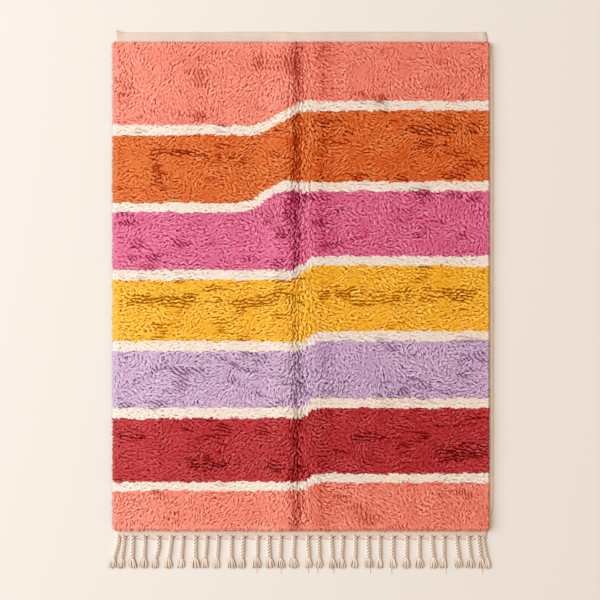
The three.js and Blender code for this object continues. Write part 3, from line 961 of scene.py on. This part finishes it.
# The tassel's layers, lower first: the lower yarns have painted shade, the upper ones are painted
# paler with painted shade at their sides
TASSEL_LAYERS = [
    dict(yarns=6, radius=2.2 * MM, height=2.4 * MM, depth=1.9, sides=0.8),
    dict(yarns=5, radius=2.5 * MM, height=5.4 * MM, depth=-0.4, sides=2.6),
]
TASSEL_STEPS = 12
TASSEL_SPREAD = 13.5 * MM
NECK_SPREAD = 2.5 * MM
NECK_OVERLAP = 4 * MM
CRIMP_WAVES = 1.4
UPPER_DROP = 1.5 * MM
STRAY_SHARE = 0.3
STRAY_LENGTH = 1.45 * TASSEL_LENGTH
YARN_SIDES = 6
FRINGE_YARN = np.array((0.85, 0.73, 0.635))
# The tint of the fringe's painted shade: redder the more shade is painted
FRINGE_SHADE = np.array((1.0, 0.92, 0.84))


def tube(path, radius, sides):
    """A closed tube round a path: its points, triangles, texture places and how far up each
    point lies on its ring, from -1 to 1."""
    steps = len(path)
    forward = np.gradient(path, axis=0)
    forward /= np.linalg.norm(forward, axis=1)[:, None]
    sideways = np.cross(forward, (0, 0, 1))
    sideways /= np.linalg.norm(sideways, axis=1)[:, None]
    upward = np.cross(sideways, forward)
    angle = 2 * np.pi * (np.arange(sides) + 0.5) / sides
    ring = np.cos(angle)[None, :, None] * sideways[:, None]
    ring = ring + np.sin(angle)[None, :, None] * upward[:, None]
    points = (path[:, None] + radius[:, None, None] * ring).reshape(-1, 3)
    i, j = np.meshgrid(np.arange(steps - 1), np.arange(sides), indexing="ij")
    a = (i * sides + j).ravel()
    b = (i * sides + (j + 1) % sides).ravel()
    faces = np.concatenate([np.stack([a, b, b + sides], 1), np.stack([a, b + sides, a + sides], 1)])
    corner = np.stack([(j / sides).ravel(), (i / steps).ravel()], 1)[:, None]
    around = 1 / sides
    along = 1 / steps
    first = corner + [(0, 0), (around, 0), (around, along)]
    second = corner + [(0, 0), (around, along), (0, along)]
    k = np.arange(1, sides - 1)
    fan = np.stack([0 * k, k, k + 1], 1)
    faces = np.concatenate([faces, fan[:, ::-1], fan + (steps - 1) * sides])
    cap_uv = np.tile([(0, 0.99), (0.01, 0.99), (0.01, 1)], (2 * len(k), 1, 1))
    uv = np.concatenate([first, second, cap_uv])
    return dict(points=points, faces=faces, uv=uv, rise=np.tile(np.sin(angle), steps))


def level_path(x, y, height):
    """A path that stays at one height."""
    return np.stack([x, y, np.full_like(x, height)], 1)


def yarn(path, radius, depth, sides):
    """A loose yarn: depth along its back, and as much deeper as sides at its sides, which is shade
    painted where they turn away from above.
    """
    strand = tube(path, radius, YARN_SIDES)
    strand["depth"] = depth + sides * np.clip(1 - strand["rise"], 0, 1.2)
    return strand


def cord_path(cord, t):
    """The middle line of a cord, from its root at t = 0 to its neck at t = 1."""
    x = cord["root"] + cord["lean"] * t ** 1.3 + cord.get("bow", 0) * np.sin(np.pi * t)
    start = GROUND_SOUTH + CORD_ON_CLOTH
    y = start + (CORD_END - start) * t
    return level_path(x * MM, y, CORD_HEIGHT)


def cord_size(cord):
    """How thick a cord is: they get a little thinner towards the right."""
    first = CORDS[0]["root"]
    last = CORDS[-1]["root"]
    size = THICKEST_CORD - THINNER_RIGHT * (cord["root"] - first) / (last - first)
    return cord.get("size", size)


def make_plies(cord, rng):
    """The two plies of a cord, tight at its root and drawn together at its neck."""
    steps = int(CORD_LENGTH / CORD_STEP)
    t = np.linspace(0, 1, steps)
    middle = cord_path(cord, t)
    middle[:, 0] += CORD_WOBBLE * noise(t * 3, cord["root"], 91)
    tight = 1 - 0.3 * smoothstep(t, 0.9, 1) - 0.25 * (1 - smoothstep(t, 0, 0.08))
    pitch = TWIST_PITCH * rng.uniform(*TWIST_STRAY)
    phase = rng.uniform(0, 2 * np.pi)
    size = cord_size(cord) * rng.uniform(*CORD_STRAY)
    plies = []
    for side in (0, np.pi):
        turn = 2 * np.pi * t * CORD_LENGTH / pitch + phase + side
        path = middle.copy()
        path[:, 0] += PLY_OFFSET[0] * size * tight * np.cos(turn)
        path[:, 2] += PLY_OFFSET[1] * size * tight * np.sin(turn)
        ply = tube(path, PLY_RADIUS * size * tight, PLY_SIDES)
        away = ply["points"] - np.repeat(middle, PLY_SIDES, axis=0)
        reach = np.linalg.norm(away[:, (0, 2)], axis=1) / np.repeat(size * tight, PLY_SIDES)
        # Painted shade in the grooves between the plies
        ply["depth"] = GROOVE_SHADE * (1 - smoothstep(reach, GROOVE_FROM, GROOVE_TO)) - PLY_PALE
        ply["points"][:, 2] = np.maximum(ply["points"][:, 2], 0)
        plies.append(ply)
    return plies


def make_tassel(cord, rng):
    """The loose yarns past a cord's neck: ones painted pale above, and ones with painted shade in
    the gaps below.
    """
    neck = cord_path(cord, np.array([1.0]))[0]
    sweep = (0.15 * cord["lean"] + rng.normal(0, 2)) * MM
    wide = cord_size(cord) * rng.uniform(0.85, 1.1)
    t = np.linspace(0, 1, TASSEL_STEPS)
    opening = 1 - (1 - t) ** 2.2
    yarns = []
    for layer in TASSEL_LAYERS:
        for k in range(layer["yarns"]):
            spread = 2 * (k + 0.5 + rng.uniform(-0.35, 0.35)) / layer["yarns"] - 1
            length = TASSEL_LENGTH * rng.uniform(0.84, 1.0) * math.sqrt(1 - 0.15 * spread ** 2)
            bend = rng.uniform(0.3, 1.1) * MM
            crimp = bend * np.sin(2 * np.pi * (t * CRIMP_WAVES + rng.uniform(0, 1)))
            x = neck[0] + wide * spread * (NECK_SPREAD + TASSEL_SPREAD * opening)
            x = x + sweep * t ** 1.5 + crimp * t
            y = neck[1] + NECK_OVERLAP - (length + NECK_OVERLAP) * t
            z = CORD_HEIGHT + (layer["height"] - CORD_HEIGHT) * smoothstep(t, 0, 0.6)
            z = z - UPPER_DROP * smoothstep(t, 0.7, 1) * (layer["height"] > 4 * MM)
            radius = layer["radius"] * rng.uniform(0.9, 1.1) * (1 - 0.3 * t ** 6)
            path = np.stack([x, y, z], 1)
            yarns.append(yarn(path, radius, layer["depth"] + rng.normal(0, 0.15), layer["sides"]))
    if rng.uniform() < STRAY_SHARE:
        x = neck[0] + (rng.uniform(-8, 8) * opening + 1.5 * np.sin(9 * t)) * MM
        y = neck[1] - STRAY_LENGTH * t
        path = np.stack([x, y, 3 * MM - 2 * MM * t], 1)
        yarns.append(yarn(path, np.full(len(t), 1.1 * MM), -0.4, 0.5))
    return yarns


def make_edge_yarns():
    """The yarn along the woven end's lower edge, a dark yarn under it as painted shadow of the
    edge, and a dark yarn beside each cord's root as painted shade in the slit there.
    """
    start = (CORDS[0]["root"] - 6) * MM
    stop = (CORDS[-1]["root"] + 8) * MM
    x = np.arange(start, stop, 3 * MM)
    edge = cords_south_edge(x)
    bright = yarn(level_path(x, edge, 2.6 * MM), np.full(len(x), 2.1 * MM), 0.1, 0.6)
    # A dark yarn just under the edge: painted shadow of the edge
    shaded = level_path(x, edge - 3 * MM, 1.3 * MM)
    yarns = [bright, yarn(shaded, np.full(len(x), 1.2 * MM), 2.2, 0.5)]
    # Beside each cord's root, a short dark yarn: painted shade in the slit there
    t = np.linspace(0, 1, 5)
    for cord in CORDS[:-1]:
        x = (cord["root"] + 4 + 17 * t) * MM
        y = GROUND_SOUTH + (10 * t - 4) * MM
        yarns.append(yarn(level_path(x, y, 3.6 * MM), 2.3 * MM * (1 - 0.5 * t ** 2), 4.2, 0.2))
    return yarns


def make_loop():
    """A loose tail that loops from one neck to the next in the middle of the fringe."""
    left, right = [cord_path(cord, np.array([1.0]))[0] for cord in CORDS[16:18]]
    t = np.linspace(0, 1, 16)
    x = left[0] + (right[0] - left[0]) * t
    y = left[1] - 5 * MM - 22 * MM * np.sin(np.pi * t)
    return yarn(level_path(x, y, 3 * MM), np.full(len(t), 1.5 * MM), 0.2, 1.2)


def make_fringe():
    rng = np.random.default_rng(17)
    strands = make_edge_yarns() + [make_loop()]
    for cord in CORDS:
        strands += make_plies(cord, rng)
        strands += make_tassel(cord, rng)
    first = 0
    wide = math.ceil(math.sqrt(len(strands)))
    for number, strand in enumerate(strands):
        strand["faces"] = strand["faces"] + first
        first += len(strand["points"])
        strand["uv"] = in_cell(strand["uv"], np.array(number), wide)
    points, faces, uv, depth = [
        np.concatenate([strand[key] for strand in strands])
        for key in ("points", "faces", "uv", "depth")
    ]
    points[:, 0] += CENTRE_X
    piece = mesh_object("fringe_cords", points, faces, uv)
    depth = depth[:, None]
    # The fringe's colour, with its painted shade and painted light
    paint(piece, painted_light_and_shade(FRINGE_YARN[None], depth) * FRINGE_SHADE ** np.maximum(depth, 0))
    return piece


# Materials

def fill(node, **inputs):
    """Sets a node's inputs, whose names are written with _ for each space."""
    for name, value in inputs.items():
        node.inputs[name.replace("_", " ")].default_value = value


class Shading:
    """A new material and short ways to add nodes to it."""

    def __init__(self, name):
        self.material = bpy.data.materials.new(name)
        self.material.use_nodes = True
        self.nodes = self.material.node_tree.nodes
        self.links = self.material.node_tree.links
        self.shader = self.nodes["Principled BSDF"]

    def add(self, kind, **settings):
        node = self.nodes.new("ShaderNode" + kind)
        for key, value in settings.items():
            setattr(node, key, value)
        return node

    def texture(self, kind, scale, stretch=(1, 1, 1), **inputs):
        """A texture in the object's own coordinates, stretched along its axes."""
        place = self.add("TexCoord")
        squeeze = self.add("Mapping")
        fill(squeeze, Scale=stretch)
        self.links.new(place.outputs["Object"], squeeze.inputs["Vector"])
        node = self.add("Tex" + kind)
        fill(node, Scale=scale, **inputs)
        self.links.new(squeeze.outputs["Vector"], node.inputs["Vector"])
        return node

    def vector(self, operation, source):
        """A node that does one sum on the vectors from a source."""
        node = self.add("VectorMath", operation=operation)
        self.links.new(source, node.inputs[0])
        return node

    def tinted(self, colour, texture, low, high):
        """The colour times low where the texture is black and times high where it is white."""
        spread = self.add("MapRange")
        fill(spread, To_Min=low, To_Max=high)
        self.links.new(texture.outputs["Fac"], spread.inputs["Value"])
        node = self.vector("SCALE", colour)
        self.links.new(spread.outputs["Result"], node.inputs["Scale"])
        return node.outputs["Vector"]

    def bump(self, height, distance, strength, before=None):
        node = self.add("Bump")
        fill(node, Distance=distance, Strength=strength)
        self.links.new(height, node.inputs["Height"])
        if before is not None:
            self.links.new(before, node.inputs["Normal"])
        return node.outputs["Normal"]

    def softened_normal(self, softness):
        """The surface's direction turned part of the way up, as wool passes light on."""
        kept = self.vector("SCALE", self.add("NewGeometry").outputs["Normal"])
        fill(kept, Scale=1 - softness)
        raised = self.vector("ADD", kept.outputs["Vector"])
        raised.inputs[1].default_value = (0, 0, softness)
        return self.vector("NORMALIZE", raised.outputs["Vector"]).outputs["Vector"]

    def finish(self, colour, normal):
        self.links.new(colour, self.shader.inputs["Base Color"])
        self.links.new(normal, self.shader.inputs["Normal"])
        return self.material


def wool_material(name, softness, fibred):
    """Spun wool: a painted colour, heathered and streaked by fibres that raise its surface."""
    wool = Shading(name)
    fill(wool.shader, Roughness=0.95, Specular_IOR_Level=0.02)
    painted = wool.add("Attribute", attribute_name="wool")
    heather = wool.texture("Noise", 200, Detail=2.0)
    colour = wool.tinted(painted.outputs["Color"], heather, 0.92, 1.08)
    fibres = wool.texture("Noise", 900, Detail=1.0)
    if fibred:
        strand = wool.add("Attribute", attribute_name="strand")
        drawn = wool.add("Mapping")
        fill(drawn, Scale=(2.6, 1.2, 7.3))
        wool.links.new(strand.outputs["Vector"], drawn.inputs["Vector"])
        fibres = wool.add("TexNoise")
        fill(fibres, Scale=1.6)
        wool.links.new(drawn.outputs["Vector"], fibres.inputs["Vector"])
        colour = wool.tinted(colour, fibres, 0.86, 1.14)
    normal = wool.bump(fibres.outputs["Fac"], 0.6 * MM, 0.5, wool.softened_normal(softness))
    return wool.finish(colour, normal)


def cloth_material():
    """Undyed plain weave: wefts across and warps along, with slubs and blotches."""
    cloth = Shading("ground_weave")
    fill(cloth.shader, Roughness=0.9, Specular_IOR_Level=0.1)
    wefts = cloth.texture("Wave", 110, Distortion=1.2, Detail=1.0)
    wefts.bands_direction = "Y"
    warps = cloth.texture("Wave", 70, Distortion=0.8, Detail=1.0)
    warps.bands_direction = "X"
    blotches = cloth.texture("Noise", 9, Detail=3.0)
    slubs = cloth.texture("Noise", 60, (0.15, 3, 1), Detail=2.0)
    painted = cloth.add("Attribute", attribute_name="wool")
    colour = cloth.tinted(painted.outputs["Color"], blotches, 0.86, 1.12)
    colour = cloth.tinted(colour, slubs, 0.92, 1.08)
    colour = cloth.tinted(colour, wefts, 0.93, 1.04)
    normal = cloth.bump(warps.outputs["Fac"], 0.3 * MM, 0.6)
    normal = cloth.bump(wefts.outputs["Fac"], 0.4 * MM, 0.9, normal)
    return cloth.finish(colour, normal)


def floor_material():
    floor = Shading("floor_paint")
    fill(floor.shader, Roughness=0.8, Base_Color=(0.785, 0.735, 0.695, 1))
    return floor.material


# Floor, light and camera

def make_floor():
    size = 14
    corners = np.array([[-1, -1, 0], [1, -1, 0], [1, 1, 0], [-1, 1, 0]]) * size / 2
    floor = mesh_object("floor", corners, np.array([[0, 1, 2, 3]]))
    floor.location.z = -0.3 * MM
    floor.data.materials.append(floor_material())


def make_light():
    world = bpy.data.worlds.new("studio")
    bpy.context.scene.world = world
    world.use_nodes = True
    fill(world.node_tree.nodes["Background"], Color=(1.0, 0.785, 0.60, 1), Strength=0.65)
    key = bpy.data.lights.new("key", "AREA")
    key.energy = 1780
    key.size = 11
    key.color = (0.84, 1.0, 1.11)
    lamp = bpy.data.objects.new("key", key)
    lamp.location = (-9.6, 1.8, 7.8)
    lamp.rotation_euler = (-lamp.location).to_track_quat("-Z", "Y").to_euler()
    bpy.context.scene.collection.objects.link(lamp)


def make_camera():
    height = 7.0
    camera = bpy.data.cameras.new("camera")
    camera.sensor_width = 36
    width = PHOTO_PIXELS * METRES_PER_PIXEL
    camera.lens = camera.sensor_width * height / width
    eye = bpy.data.objects.new("camera", camera)
    middle = PHOTO_PIXELS / 2
    x = CENTRE_X + (middle - PILE_MIDDLE_PIXEL[0]) * METRES_PER_PIXEL
    y = PILE_MIDDLE - (middle - PILE_MIDDLE_PIXEL[1]) * METRES_PER_PIXEL
    eye.location = (x, y, height)
    bpy.context.scene.collection.objects.link(eye)
    bpy.context.scene.camera = eye


def hand_over(piece, node, material):
    """Dresses a piece and gives it the place of a solid."""
    piece.data.materials.append(material)
    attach(piece, "root")
    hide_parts(node)


make_camera()
make_floor()
make_light()
bpy.context.scene.view_settings.view_transform = "Standard"

pile_wool = wool_material("pile_wool", softness=0.75, fibred=True)
face_wool = wool_material("face_wool", softness=0.45, fibred=False)
for piece in make_locks():
    hand_over(piece, "pile", pile_wool)
for piece in make_face():
    hand_over(piece, "pile", face_wool)
ground_cloth = make_ground()
hand_over(ground_cloth, "ground", cloth_material())
fringe_cords = make_fringe()
fringe_wool = wool_material("fringe_yarn", softness=0.45, fibred=False)
hand_over(fringe_cords, "fringe", fringe_wool)
